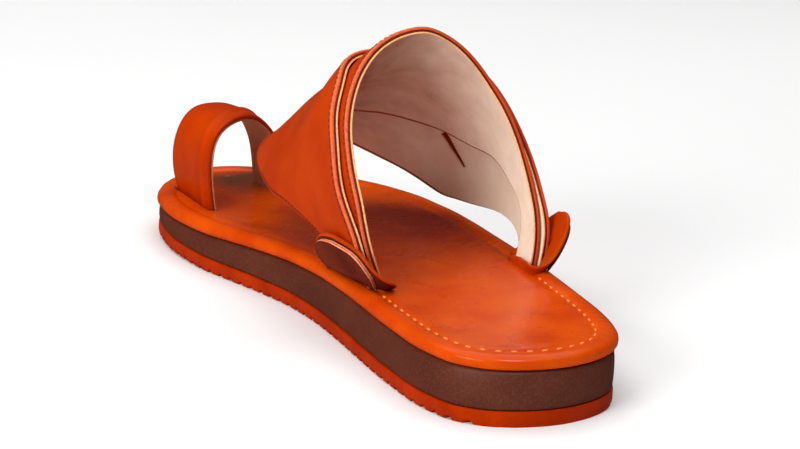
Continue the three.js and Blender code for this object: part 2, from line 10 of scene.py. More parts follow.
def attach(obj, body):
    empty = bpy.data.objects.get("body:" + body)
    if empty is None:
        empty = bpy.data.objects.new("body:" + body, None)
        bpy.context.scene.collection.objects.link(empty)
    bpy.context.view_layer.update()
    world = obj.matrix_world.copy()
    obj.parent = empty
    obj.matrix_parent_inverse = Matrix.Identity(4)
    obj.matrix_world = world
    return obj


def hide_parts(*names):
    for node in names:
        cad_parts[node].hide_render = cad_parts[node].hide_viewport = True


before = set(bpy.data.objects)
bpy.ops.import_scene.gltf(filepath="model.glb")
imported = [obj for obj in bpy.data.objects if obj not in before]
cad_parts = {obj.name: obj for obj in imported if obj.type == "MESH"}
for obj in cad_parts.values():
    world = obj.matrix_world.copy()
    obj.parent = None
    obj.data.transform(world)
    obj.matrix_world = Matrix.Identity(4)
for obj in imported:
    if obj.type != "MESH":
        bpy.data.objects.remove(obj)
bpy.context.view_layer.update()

# Metres. X runs to the lateral side, Y to the toe, Z up from the floor. The surfaces follow
# the same tables as the solids, with a finer grid and the layers that a maker would glue up.
mm = 0.001

sole_length = 280 * mm
sole_width = 101 * mm
outsole_thickness = 5.4 * mm
wedge_height = 13.6 * mm
footbed_thickness = 4.5 * mm
instep_rise = 82.2 * mm
band_wall = 2.6 * mm
hide_wall = 1.1 * mm
lining_wall = 0.6 * mm
glue_line = 0.05 * mm
loop_wall = 2.2 * mm
loop_rise = 33.6 * mm
loop_width = 37 * mm
loop_crown = 0.8 * mm
tab_wall = 1.4 * mm
tab_reach = {"medial": 19 * mm, "lateral": 18.5 * mm}
tab_margins = {"medial": (3 * mm, 1 * mm), "lateral": (5.4 * mm, 1 * mm)}
tab_sink = {"medial": 1.8 * mm, "lateral": 2.9 * mm}
tab_sink_span = (0.35, 0.75)

seat_gap = 0.3 * mm
layer_gap = 0.7 * mm
slot_gap = 0.45 * mm
side_sign = {"medial": -1, "lateral": 1}

toe_spring = 1.9 * mm
spring_start = 0.68
rib_pitch = 6 * mm
rib_depth = 1.2 * mm
rib_land = 3.2 * mm
rib_slope = 0.7 * mm
bead_rise = 0.4 * mm
seam_inset = 6.7 * mm
seam_depth = 0.35 * mm
tab_clearance = 4 * mm
core_inset = 0.4 * mm
seam_end = 0.33
slit_width = 2.4 * mm
band_ease = 0.012
loop_ease = 0.04
tab_ease = 0.045
last_ease = 0.03
chamfer = 0.29
weld_distance = 0.001 * mm

outline_rows = [
    # at, medial, lateral
    (0.0, 0.0, 0.0),
    (0.031, -0.252, 0.237),
    (0.071, -0.326, 0.306),
    (0.143, -0.357, 0.352),
    (0.214, -0.355, 0.375),
    (0.286, -0.344, 0.398),
    (0.357, -0.331, 0.424),
    (0.429, -0.324, 0.448),
    (0.5, -0.335, 0.469),
    (0.571, -0.373, 0.489),
    (0.643, -0.428, 0.501),
    (0.714, -0.479, 0.494),
    (0.786, -0.497, 0.453),
    (0.857, -0.476, 0.371),
    (0.929, -0.388, 0.237),
    (0.957, -0.32, 0.139),
    (1.0, -0.1, -0.1),
]
wedge_rows = [
    # at, height
    (0.0, 0.97),
    (0.25, 1.0),
    (0.5, 0.816),
    (0.75, 0.559),
    (1.0, 0.301),
]
last_rows = [
    # at, crown x, crown, medial x, medial, lateral x, lateral
    (0.25, 0.03, 1.18, -0.351, 0.462, 0.406, 0.292),
    (0.357, 0.03, 1.115, -0.351, 0.473, 0.416, 0.303),
    (0.436, 0.04, 1.026, -0.347, 0.459, 0.426, 0.3),
    (0.5, 0.04, 0.825, -0.337, 0.347, 0.436, 0.249),
    (0.571, 0.045, 0.725, -0.327, 0.212, 0.436, 0.163),
    (0.643, 0.05, 0.585, -0.312, 0.101, 0.426, 0.077),
    (0.714, 0.05, 0.445, -0.277, 0.071, 0.376, 0.046),
    (0.768, 0.05, 0.35, -0.248, 0.061, 0.327, 0.043),
    (0.821, 0.05, 0.282, -0.223, 0.051, 0.277, 0.027),
]
last_roundness = {"medial": 2.0, "lateral": 1.84}
last_root_x = {"medial": -0.243, "lateral": 0.368}
wall_turn = 0.62
crease_ease = 0.03

front_band_rows = [
    # along, back turn, back, front turn, front
    (0.0, -1.0, 0.3, -1.0, 0.396),
    (0.08, -0.82, 0.3, -0.87, 0.405),
    (0.16, -0.67, 0.337, -0.79, 0.472),
    (0.25, -0.56, 0.358, -0.68, 0.532),
    (0.33, -0.46, 0.386, -0.53, 0.61),
    (0.39, -0.38, 0.402, -0.45, 0.666),
    (0.45, -0.29, 0.434, -0.37, 0.719),
    (0.51, -0.17, 0.463, -0.26, 0.753),
    (0.57, -0.05, 0.478, -0.11, 0.772),
    (0.63, 0.08, 0.48, 0.05, 0.782),
    (0.69, 0.2, 0.463, 0.19, 0.782),
    (0.75, 0.33, 0.439, 0.3, 0.774),
    (0.81, 0.42, 0.418, 0.41, 0.747),
    (0.86, 0.495, 0.394, 0.5, 0.702),
    (0.9, 0.58, 0.361, 0.625, 0.63),
    (0.935, 0.69, 0.33, 0.77, 0.53),
    (0.955, 0.78, 0.317, 0.78, 0.45),
    (0.97, 0.84, 0.315, 0.795, 0.4),
    (0.985, 0.92, 0.314, 0.85, 0.371),
    (1.0, 1.0, 0.313, 1.0, 0.365),
]
back_band_rows = [
    # along, back turn, back, front turn, front
    (0.0, -1.0, 0.3, -1.0, 0.38),
    (0.08, -0.86, 0.3, -0.86, 0.384),
    (0.16, -0.72, 0.304, -0.74, 0.4),
    (0.24, -0.58, 0.335, -0.61, 0.443),
    (0.31, -0.5, 0.358, -0.48, 0.504),
    (0.38, -0.4, 0.379, -0.34, 0.571),
    (0.45, -0.26, 0.402, -0.2, 0.625),
    (0.52, -0.12, 0.418, -0.06, 0.657),
    (0.58, 0.0, 0.422, 0.06, 0.662),
    (0.65, 0.13, 0.427, 0.17, 0.646),
    (0.72, 0.25, 0.424, 0.29, 0.613),
    (0.78, 0.34, 0.416, 0.39, 0.564),
    (0.84, 0.43, 0.395, 0.48, 0.509),
    (0.89, 0.54, 0.368, 0.59, 0.421),
    (0.93, 0.66, 0.338, 0.69, 0.371),
    (0.965, 0.83, 0.319, 0.83, 0.359),
    (1.0, 1.0, 0.313, 1.0, 0.355),
]
slit_rows = [
    # along, turn, at, width
    (0.0, 0.395, 0.587, 1.6),
    (0.5, 0.468, 0.578, 1.2),
    (1.0, 0.54, 0.562, 0.7),
]
loop_rows = [
    # along, back x, back, back up, width, front x, front up
    (0.0, -0.347, 0.766, -0.13, 1.015, -0.335, -0.13),
    (0.1, -0.367, 0.764, 0.2, 1.015, -0.375, 0.2),
    (0.2, -0.372, 0.766, 0.52, 0.962, -0.385, 0.52),
    (0.3, -0.345, 0.775, 0.8, 0.871, -0.355, 0.84),
    (0.4, -0.27, 0.793, 0.94, 0.735, -0.29, 1.0),
    (0.5, -0.19, 0.815, 0.96, 0.591, -0.205, 1.0),
    (0.6, -0.11, 0.835, 0.9, 0.462, -0.13, 0.93),
    (0.7, -0.04, 0.849, 0.76, 0.402, -0.08, 0.75),
    (0.8, 0.012, 0.855, 0.53, 0.394, -0.043, 0.5),
    (0.9, 0.03, 0.855, 0.22, 0.409, -0.028, 0.2),
    (1.0, 0.035, 0.855, -0.13, 0.402, -0.018, -0.13),
]
tab_rows = {
    # around, heel reach, heel rise, front reach, front rise
    "medial": [
        (0.0, 0.93, 68, 0.93, 68),
        (0.1, 0.9, 68, 0.89, 68),
        (0.2, 0.88, 67, 0.83, 66),
        (0.3, 0.8, 65, 0.68, 60),
        (0.4, 0.58, 58, 0.38, 44),
        (0.5, 0.28, 42, 0.15, 20),
        (0.65, 0.18, 24, 0.12, 8),
        (0.8, 0.15, 14, 0.12, 6),
        (1.0, 0.13, 8, 0.13, 8),
    ],
    "lateral": [
        (0.0, 1.08, 66, 1.08, 66),
        (0.1, 1.14, 66, 0.95, 66),
        (0.2, 1.12, 65, 0.76, 64),
        (0.3, 0.94, 62, 0.5, 56),
        (0.4, 0.52, 57, 0.3, 38),
        (0.5, 0.22, 50, 0.16, 30),
        (0.65, 0.27, 74, 0.17, 62),
        (0.8, 0.3, 92, 0.24, 90),
        (1.0, 0.3, 98, 0.3, 98),
    ],
}
tab_skew = 3 * mm
tab_turn = 0.924
tab_flare = 0.04
tab_end_flare = 0.22
tab_blend = 0.25
tab_face_end = 0.94
backing_span = 0.38
backing_reach = 0.87
backing_start = 0.12
backing_rounding = 0.45
backing_bulge = 0.012
backing_radius = 0.25 * mm
backing_columns = 61
backing_walls = (0.6 * mm, 0.8 * mm)
backing_gaps = (0.1 * mm, 0.12 * mm)
tab_radius = 0.62 * mm
tab_columns = 144
tab_rings = 12


# Curves


class Smooth:
    """A smooth curve through table rows that never overshoots them. ease rounds its bends over
    that share of its length and leaves both ends where they are."""

    def __init__(self, place, value, ease=0.0):
        self.place = np.asarray(place, float)
        self.value = np.asarray(value, float)
        slope = np.diff(self.value) / np.diff(self.place)
        before = np.r_[slope[:1], slope]
        after = np.r_[slope, slope[-1:]]
        total = np.where(before * after > 0, before + after, 1)
        self.tangent = np.where(before * after > 0, 2 * before * after / total, 0)
        self.eased = None
        if ease:
            samples = 2000
            self.fine = np.linspace(self.place[0], self.place[-1], samples + 1)
            raw = self.through(self.fine)
            reach = round(3 * ease * samples)
            bell = np.exp(-((np.arange(-reach, reach + 1) / (ease * samples)) ** 2) / 2)
            start = 2 * raw[0] - raw[reach:0:-1]
            end = 2 * raw[-1] - raw[-2 : -2 - reach : -1]
            self.eased = np.convolve(np.r_[start, raw, end], bell / bell.sum(), "valid")

    def __call__(self, wanted):
        if self.eased is None:
            return self.through(wanted)
        return np.interp(wanted, self.fine, self.eased)

    def through(self, wanted):
        inside = np.clip(wanted, self.place[0], self.place[-1])
        i = np.searchsorted(self.place, inside, side="right") - 1
        i = np.clip(i, 0, len(self.place) - 2)
        span = self.place[i + 1] - self.place[i]
        t = (inside - self.place[i]) / span
        rise = self.value[i + 1] - self.value[i]
        bend = span * (self.tangent[i] * (1 - t) - self.tangent[i + 1] * t) - rise * (1 - 2 * t)
        return self.value[i] + rise * t + t * (1 - t) * bend


def columns(rows, ease=0.0):
    place, *values = zip(*rows)
    return [Smooth(place, value, ease) for value in values]


def mix(a, b, share):
    return a + (b - a) * share


def unit(vectors):
    return vectors / np.linalg.norm(vectors, axis=-1, keepdims=True)


def stack(*values):
    return np.stack(np.broadcast_arrays(*values), axis=-1)


def step_up(share):
    """An S-shaped rise from 0 to 1."""
    share = np.clip(share, 0, 1)
    return share * share * (3 - 2 * share)


def half_turn(at):
    return np.arccos(1 - 2 * np.clip(at, 0, 1)) / np.pi


medial_outline, lateral_outline = columns([(half_turn(at), m, l) for at, m, l in outline_rows])
(wedge,) = columns(wedge_rows)


def along_y(at):
    return (at - 0.5) * sole_length


def share_of(y):
    return y / sole_length + 0.5


def spring(at):
    return toe_spring * np.maximum(at - spring_start, 0) / (1 - spring_start)


def outsole_top(at):
    return spring(at) + outsole_thickness


def midsole_floor(at):
    return outsole_top(at) + seat_gap


def midsole_top(at):
    return midsole_floor(at) + wedge_height * wedge(at)


def footbed_floor(at):
    return midsole_top(at) + seat_gap


def footbed_top(at):
    return footbed_floor(at) + footbed_thickness


# Meshes


def link_object(name, data):
    made = bpy.data.objects.new(name, data)
    bpy.context.scene.collection.objects.link(made)
    return made


def new_object(name, points, faces, smooth=True, weld=True, indices=None):
    mesh = bpy.data.meshes.new(name)
    mesh.from_pydata([tuple(p) for p in points], [], [tuple(int(i) for i in f) for f in faces])
    if indices is not None:
        mesh.polygons.foreach_set("material_index", indices)
    work = bmesh.new()
    work.from_mesh(mesh)
    if weld:
        bmesh.ops.remove_doubles(work, verts=work.verts, dist=weld_distance)
    bmesh.ops.recalc_face_normals(work, faces=work.faces)
    work.to_mesh(mesh)
    work.free()
    if smooth:
        mesh.shade_smooth()
    return link_object(name, mesh)


def sweep(name, points, materials, closed=False):
    """Sections of points, each a closed loop, joined along a path. materials has an index
    for each side of the loop, and the last one is for the two end caps."""
    count, size = points.shape[:2]
    faces = []
    index = []
    for k in range(count if closed else count - 1):
        row = k * size
        after = ((k + 1) % count) * size
        for i in range(size):
            j = (i + 1) % size
            faces.append((row + i, row + j, after + j, after + i))
            index.append(materials[i])
    if not closed:
        faces.append(tuple(range(size)))
        faces.append(tuple(range((count - 1) * size, count * size)))
        index += [materials[-1]] * 2
    return new_object(name, points.reshape(-1, 3), faces, weld=False, indices=index)


def carve(piece, tools):
    """Cuts the tools out of the piece and removes them."""
    for tool in tools:
        cutter = piece.modifiers.new("cut", "BOOLEAN")
        cutter.operation = "DIFFERENCE"
        cutter.solver = "EXACT"
        cutter.object = tool
    graph = bpy.context.evaluated_depsgraph_get()
    shaped = bpy.data.meshes.new_from_object(piece.evaluated_get(graph))
    piece.modifiers.clear()
    piece.data = shaped
    for tool in tools:
        bpy.data.objects.remove(tool)


def dress(piece, slot, *materials):
    for material in materials:
        piece.data.materials.append(material)
    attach(piece, "root")


# Materials


def rgb(red, green, blue):
    """A linear colour from a display's steps, 0 to 255."""
    return tuple(
        v / 12.92 if v <= 0.04045 else ((v + 0.055) / 1.055) ** 2.4
        for v in (red / 255, green / 255, blue / 255)
    ) + (1,)


class Look:
    """A material made of one shader and the textures that feed it."""

    def __init__(self, name):
        self.material = bpy.data.materials.new(name)
        self.material.use_nodes = True
        self.tree = self.material.node_tree
        self.shader = next(n for n in self.tree.nodes if n.type == "BSDF_PRINCIPLED")
        self.place = self.add("ShaderNodeTexCoord", "Object")

    def feed(self, value, socket):
        if isinstance(value, bpy.types.NodeSocket):
            self.tree.links.new(value, socket)
        else:
            socket.default_value = value

    def add(self, kind, output, inputs={}, **settings):
        """A node with these inputs, values or sockets; returns the one output that is used."""
        node = self.tree.nodes.new(kind)
        for key, value in settings.items():
            setattr(node, key, value)
        for key, value in inputs.items():
            self.feed(value, node.inputs[key])
        return node.outputs[output]

    def stretched(self, scale):
        return self.add("ShaderNodeMapping", "Vector", {"Vector": self.place, "Scale": scale})

    def noise(self, size, detail=3.0, where=None, distortion=0.0):
        """Clouds whose features are about size metres across."""
        inputs = {"Vector": where or self.place, "Scale": 1 / size, "Detail": detail}
        inputs |= {"Roughness": 0.55, "Distortion": distortion}
        return self.add("ShaderNodeTexNoise", "Fac", inputs)

    def cells(self, size):
        inputs = {"Vector": self.place, "Scale": 1 / size}
        return self.add("ShaderNodeTexVoronoi", "Distance", inputs)

    def ramp(self, source, stops):
        node = self.tree.nodes.new("ShaderNodeValToRGB")
        ramp = node.color_ramp
        for element, (position, colour) in zip(ramp.elements, stops):
            element.position = position
            element.color = colour
        self.feed(source, node.inputs["Fac"])
        return node.outputs["Color"]

    def spread(self, source, low, high, start=0.0, end=1.0):
        """The source between start and end, mapped to low and high."""
        inputs = {"Value": source, "From Min": start, "From Max": end}
        inputs |= {"To Min": low, "To Max": high}
        return self.add("ShaderNodeMapRange", "Result", inputs, clamp=True)

    def blend(self, share, first, second):
        inputs = {"Factor": share, 6: first, 7: second}
        return self.add("ShaderNodeMix", 2, inputs, data_type="RGBA")

    def math(self, operation, first, second):
        return self.add("ShaderNodeMath", 0, {0: first, 1: second}, operation=operation)

    def along(self, axis, low, high):
        """0 to 1 between two places on an axis of the part."""
        place = self.add("ShaderNodeSeparateXYZ", axis, {0: self.place})
        return self.spread(place, 0.0, 1.0, low, high)

    def attribute(self, name):
        return self.add("ShaderNodeAttribute", "Fac", attribute_name=name)

    def bump(self, height, distance, strength, under=None):
        inputs = {"Height": height, "Distance": distance, "Strength": strength}
        if under is not None:
            inputs["Normal"] = under
        normal = self.add("ShaderNodeBump", "Normal", inputs)
        self.feed(normal, self.shader.inputs["Normal"])
        return normal

    def set(self, **values):
        names = {"base": "Base Color", "rough": "Roughness", "specular": "Specular IOR Level"}
        names |= {"tint": "Specular Tint", "coat": "Coat Weight", "coat_rough": "Coat Roughness"}
        names |= {"sheen": "Sheen Weight", "sheen_rough": "Sheen Roughness"}
        names |= {"sheen_tint": "Sheen Tint"}
        for key, value in values.items():
            self.feed(value, self.shader.inputs[names[key]])


# Highlights on the coloured leather and rubber are warm.
glint = (1.0, 0.36, 0.06, 1)


def leather(name, face, shade, rough, gloss, edge=None, toe=None, coat=0.0):
    """Finished leather: a fine grain, cloudy colour and duller patches. edge is the colour near
    a band's edges, toe that of the painted shade and dark reflection in front of the toe loop."""
    look = Look(name)
    colour = look.ramp(look.noise(22 * mm, detail=4), [(0.32, shade), (0.62, face)])
    fine = look.noise(1.6 * mm, detail=2)
    colour = look.blend(look.spread(fine, 0.0, 0.16, 0.35, 0.75), colour, shade)
    if edge is not None:
        near = look.spread(look.attribute("edge"), 0.55, 0.0, 0.0, 3.2 * mm)
        colour = look.blend(near, colour, edge)
    # Painted shade and dark reflection on the footbed's toe end, in front of the toe loop.
    if toe is not None:
        ahead = look.along("Y", 94 * mm, 120 * mm)
        ahead = look.math("MULTIPLY", ahead, look.along("Y", 134 * mm, 125 * mm))
        aside = look.along("X", -33 * mm, 33 * mm)
        middle = look.spread(look.math("PINGPONG", aside, 0.5), 0.0, 1.0, 0.02, 0.32)
        colour = look.blend(look.math("MULTIPLY", ahead, middle), colour, toe)
    dull = look.spread(look.noise(14 * mm), rough - 0.05, rough + 0.08, 0.3, 0.7)
    look.set(base=colour, rough=dull, specular=gloss, tint=glint, coat=coat, coat_rough=0.2)
    creases = look.bump(look.noise(3.2 * mm, detail=5), 0.02 * mm, 0.35)
    look.bump(look.cells(0.9 * mm), 0.03 * mm, 0.5, creases)
    return look.material


def suede(name, face, shade, sheen=0.12, painted_shade=None, relief=0.5 * mm):
    """A brushed lining: soft, matt and slightly creased, darker towards the foot's inside as
    painted shade.
    """
    look = Look(name)
    colour = look.ramp(look.noise(18 * mm, detail=5), [(0.3, shade), (0.65, face)])
    fibres = look.noise(0.7 * mm, detail=3)
    colour = look.blend(look.spread(fibres, 0.0, 0.3, 0.35, 0.75), colour, shade)
    # Painted shade: darker and warmer towards the foot's inside, where less light reaches it.
    if painted_shade is not None:
        side = look.along("X", -16 * mm, 42 * mm)
        painted_shade_share = look.math("ADD", side, look.spread(look.noise(12 * mm), -0.11, 0.11, 0.3, 0.7))
        colour = look.blend(look.spread(painted_shade_share, 0.0, 1.0, -0.05, 0.95), painted_shade, colour)
    look.set(base=colour, rough=0.9, specular=0.08, sheen=sheen, sheen_rough=0.5, sheen_tint=face)
    creases = look.noise(7 * mm, detail=3, where=look.stretched((0.5, 1.6, 1.0)), distortion=1.2)
    under = look.bump(creases, relief, 0.5)
    look.bump(fibres, 0.12 * mm, 0.6, under)
    return look.material


def cut_edge(name, face, shade, lateral=None):
    """The raw edge of a hide: fibrous, matt and paler than its face. lateral, where given, is a
    painted shade that darkens the edge towards the foot's outer side, away from the light."""
    look = Look(name)
    fibres = look.noise(0.8 * mm, detail=3)
    colour = look.ramp(fibres, [(0.3, shade), (0.7, face)])
    # Painted shade on the foot's outer side, where the edges face away from the light.
    if lateral is not None:
        colour = look.blend(look.along("X", 2 * mm, 26 * mm), colour, lateral)
    look.set(base=colour, rough=0.7, specular=0.15)
    look.bump(fibres, 0.08 * mm, 0.6)
    return look.material


def foam():
    """The wedge: brown foam with a skin, fine speckle and faint mould lines."""
    look = Look("midsole_foam")
    clouds = look.noise(30 * mm, detail=4)
    colour = look.ramp(clouds, [(0.3, rgb(80, 34, 20)), (0.7, rgb(102, 47, 29))])
    speckle = look.noise(0.9 * mm, detail=2)
    colour = look.blend(look.spread(speckle, 0.0, 0.35, 0.45, 0.8), colour, rgb(124, 74, 56))
    look.set(base=colour, rough=look.spread(clouds, 0.4, 0.52), specular=0.16)
    lines = look.bump(look.noise(5 * mm, where=look.stretched((1, 1, 3))), 0.15 * mm, 0.4)
    look.bump(look.cells(0.8 * mm), 0.06 * mm, 0.5, lines)
    return look.material


def rubber():
    """The tread: moulded rubber with a fine mottle."""
    look = Look("outsole_rubber")
    stops = [(0.3, rgb(150, 33, 0)), (0.7, rgb(180, 48, 1))]
    colour = look.ramp(look.noise(16 * mm, detail=4), stops)
    fine = look.noise(0.7 * mm, detail=2)
    colour = look.blend(look.spread(fine, 0.0, 0.25, 0.4, 0.8), colour, rgb(150, 36, 4))
    look.set(base=colour, rough=look.spread(fine, 0.5, 0.68), specular=0.12, tint=glint)
    look.bump(look.noise(0.6 * mm, detail=3), 0.07 * mm, 0.5)
    return look.material


def thread(name, face, shade):
    """Twisted waxed thread."""
    look = Look(name)
    twist = look.noise(0.35 * mm, detail=1)
    look.set(base=look.ramp(twist, [(0.35, shade), (0.65, face)]), rough=0.5, specular=0.4)
    look.bump(twist, 0.05 * mm, 0.6)
    return look.material


# Painted shade and dark reflection for the footbed's toe end.
painted_toe_shade = rgb(100, 52, 34)
footbed_leather = leather(
    "footbed_leather", rgb(216, 78, 0), rgb(196, 58, 0), 0.28, 0.1, toe=painted_toe_shade, coat=0.2
)
band_rim = rgb(150, 30, 0)
band_leather = leather("band_leather", rgb(192, 59, 0), rgb(176, 48, 0), 0.34, 0.07, band_rim)
tab_leather = leather("tab_leather", rgb(196, 64, 0), rgb(174, 50, 0), 0.3, 0.16)
# The last colour of each edge is painted shade on the foot's outer side; the pale faces of these
# two are partly painted highlight.
band_edge = cut_edge("band_edge", rgb(236, 120, 76), rgb(208, 84, 40), rgb(196, 66, 22))
tab_edge = cut_edge("tab_edge", rgb(250, 170, 130), rgb(226, 112, 66), rgb(96, 22, 6))
lining_edge = cut_edge("lining_edge", rgb(255, 208, 150), rgb(236, 164, 100))
# Painted shade along the lining's front edge, darker brown than the lining's face.
lining_front_shade = cut_edge("lining_front_shade", rgb(176, 112, 80), rgb(140, 80, 52))
# Partly a dark glue joint and partly painted shade: its dark colour fills the recessed core
# between hide and lining.
glue_and_shade = cut_edge("glue_line", rgb(140, 34, 6), rgb(108, 22, 3))
# The band lining's painted shade towards the foot's inside.
lining_painted_shade = rgb(134, 50, 10)
band_lining = suede(
    "band_lining", rgb(255, 244, 222), rgb(250, 232, 204), 0.05, lining_painted_shade, relief=0.9 * mm
)
loop_lining = suede("loop_lining", rgb(196, 140, 108), rgb(168, 104, 72))
backing_suede = suede("backing_suede", rgb(112, 38, 14), rgb(80, 24, 6), sheen=0.03)
foam_look = foam()
rubber_look = rubber()
seam_thread = thread("seam_thread", rgb(255, 150, 66), rgb(238, 112, 30))
band_thread = thread("band_thread", rgb(124, 30, 4), rgb(88, 16, 2))


# Sole

ring_facets = 160
footbed_sag = 0.9 * mm
sag_reach = 7 * mm
sag_end_rise = 18
tread_edge = 0.15 * mm
tread_side = 0.25 * mm
tip_steps = 24
tip_gap = 0.05 * mm
closest_rows = 0.02 * mm


def outline_place(turn):
    """A place on the sole's outline: turn 0 is the heel, 1 the toe, 2 the heel again."""
    inside = np.minimum(turn, 2 - turn)
    x = np.where(turn <= 1, medial_outline(inside), lateral_outline(inside))
    return stack(x * sole_width, along_y((1 - np.cos(np.pi * inside)) / 2))


def outline_point(turn, inset):
    step = 0.004
    along = unit(outline_place((turn + step) % 2) - outline_place((turn - step) % 2))
    inward = stack(along[..., 1], -along[..., 0])
    return outline_place(turn) + inward * inset


def ring(inset, height, proud=0.0):
    angle = (np.arange(2 * ring_facets) + 0.5) / ring_facets
    plan = outline_point(angle, inset)
    z = height(share_of(plan[:, 1])) + proud
    return np.column_stack([plan, z])


def rings_object(name, rings, steps, sag=0.0):
    """Stacked rings, closed at the bottom by strips and on top by a grid that sags in its
    middle."""
    count = len(rings[0])
    half = count // 2
    points = [p for each in rings for p in each]
    faces = []
    for k in range(len(rings) - 1):
        for i in range(count):
            j = (i + 1) % count
            faces.append((k * count + i, k * count + j, (k + 1) * count + j, (k + 1) * count + i))
    for i in range(half - 1):
        faces.append((i, i + 1, count - 2 - i, count - 1 - i))
    left, right = rings[-1][:half], rings[-1][::-1][:half]
    share = (1 - np.cos(np.pi * np.arange(1, steps) / steps)) / 2
    lid = mix(left[:, None], right[:, None], share[:, None])
    depth = np.minimum(share, 1 - share) * np.linalg.norm(right - left, axis=1)[:, None]
    row = np.arange(half)
    ends = np.minimum(1, np.minimum(row, half - 1 - row) / half * sag_end_rise)
    lid[..., 2] -= sag * (1 - np.exp(-depth / sag_reach)) * ends[:, None]
    middle = len(points) + np.arange(half * (steps - 1)).reshape(half, -1)
    top = (len(rings) - 1) * count
    grid = np.column_stack([top + row, middle, top + count - 1 - row])
    points += list(lid.reshape(-1, 3))
    for i in range(half - 1):
        for j in range(steps):
            faces.append((grid[i, j], grid[i, j + 1], grid[i + 1, j + 1], grid[i + 1, j]))
    return new_object(name, points, faces)


def make_outsole():
    land = rib_land / 2
    ribs = math.floor((sole_length / 2 - rib_land) / rib_pitch)
    foot = land + rib_slope
    edges = [land - tread_edge, land + tread_edge, foot - tread_edge, foot + tread_edge]
    edges += [rib_pitch - e for e in reversed(edges)]
    places = {rib * rib_pitch + e for rib in range(-ribs, ribs) for e in edges}
    tip = 2 * rib_pitch
    for share in np.linspace(0, 1, tip_steps):
        y = sole_length / 2 - tip_gap - tip * (1 - math.sin(math.pi / 2 * share))
        places |= {y, -y}
    y = np.array(sorted(places))
    y = y[np.r_[True, np.diff(y) > closest_rows]]
    pitch_place = np.abs(y - np.round(y / rib_pitch) * rib_pitch)
    groove = rib_depth * np.clip((pitch_place - land) / rib_slope, 0, 1)
    groove[np.abs(y) > ribs * rib_pitch] = 0
    at = share_of(y)
    medial = medial_outline(half_turn(at)) * sole_width
    lateral = lateral_outline(half_turn(at)) * sole_width
    profile = [
        # inset, share of the height, how much of the groove
        (3.0 * mm, 0.0, 1),
        (tread_side * 2, 0.0, 1),
        (0.0, 0.07, 1),
        (-tread_side, 0.3, 0),
        (-tread_side, 0.75, 0),
        (0.0, 0.93, 0),
        (tread_side * 2, 1.0, 0),
    ]
    most = (lateral - medial) / 2 * 0.9
    rows = []
    for edge, inward, order in ((medial, 1, profile), (lateral, -1, profile[::-1])):
        for inset, height, deep in order:
            z = mix(spring(at), outsole_top(at), height) + deep * groove
            rows.append(stack(edge + inward * np.minimum(inset, most), y, z))
    piece = sweep("outsole_tread", np.stack(rows, axis=1), [0] * len(rows))
    piece.data.set_sharp_from_angle(angle=math.radians(40))
    dress(piece, "rubber", rubber_look)
    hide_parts("outsole")


def wedge_level(share, at):
    return mix(midsole_floor(at), midsole_top(at), share)


def make_midsole():
    profile = [
        # inset in mm, share of the height
        (2.5, 0.0),
        (0.5, 0.0),
        (0.1, 0.04),
        (0.0, 0.12),
        (-0.15, 0.35),
        (-0.1, 0.65),
        (0.15, 0.88),
        (0.5, 0.96),
        (1.1, 1.0),
        (4, 1.0),
    ]
    rings = [ring(inset * mm, partial(wedge_level, share)) for inset, share in profile]
    piece = rings_object("midsole_wedge", rings, steps=4)
    dress(piece, "foam", foam_look)
    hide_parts("midsole")


# The padded footbed's section, in mm: inset from the outline and height above its plain top.
pad_profile = [
    (4.0, -4.5),
    (1.6, -4.5),
    (0.5, -4.3),
    (-0.35, -3.8),
    (-0.85, -3.0),
    (-1.0, -2.1),
    (-0.85, -1.2),
    (-0.35, -0.4),
    (0.5, 0.2),
    (1.7, 0.6),
    (3.1, 0.75),
    (4.2, 0.62),
    (5.2, 0.35),
    (6.0, -0.1),
    (6.5, -0.35),
    (6.9, -0.4),
    (7.6, -0.25),
    (9.0, -0.22),
    (11.2, -0.35),
    (13.0, -0.6),
]


def make_footbed():
    rings = [ring(inset * mm, footbed_top, proud * mm) for inset, proud in pad_profile]
    piece = rings_object("footbed_pad", rings, steps=24, sag=footbed_sag)
    tools = [root_tool(side, slot_turn) for side in side_sign]
    tools += [loop_tool(0.0, loop_foot), loop_tool(1.0, 1 - loop_foot)]
    carve(piece, tools)
    piece.data.shade_smooth()
    piece.data.set_sharp_from_angle(angle=math.radians(50))
    dress(piece, "footbed_leather", footbed_leather)
    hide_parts("footbed")


# Upper

# Turns: where a root starts, where the footbed's slots and the tabs' start, and where the
# cutters end.
root_turn = 0.88
slot_turn = 0.86
tab_slot_turn = 0.6
tool_end_turn = 1.12
tool_rows = 9
tool_columns = 5
loop_foot = 0.14
loop_tool_rows = 7
loop_tool_extra = 0.7 * mm
loop_lining_wall = 0.7 * mm
edge_radius = {"hide": 0.35 * mm, "core": 0.2 * mm, "lining": 0.12 * mm, "loop": 0.4 * mm}
band_face_steps = 40
band_row_steps = 6
loop_face_steps = 24
loop_steps = 121
border_end = 0.42
last_step = 0.004
loop_step = 0.01
crease_fade = 0.1
thread_taper = 0.6

crown_x, crown, medial_x, medial, lateral_x, lateral = columns(last_rows, last_ease)


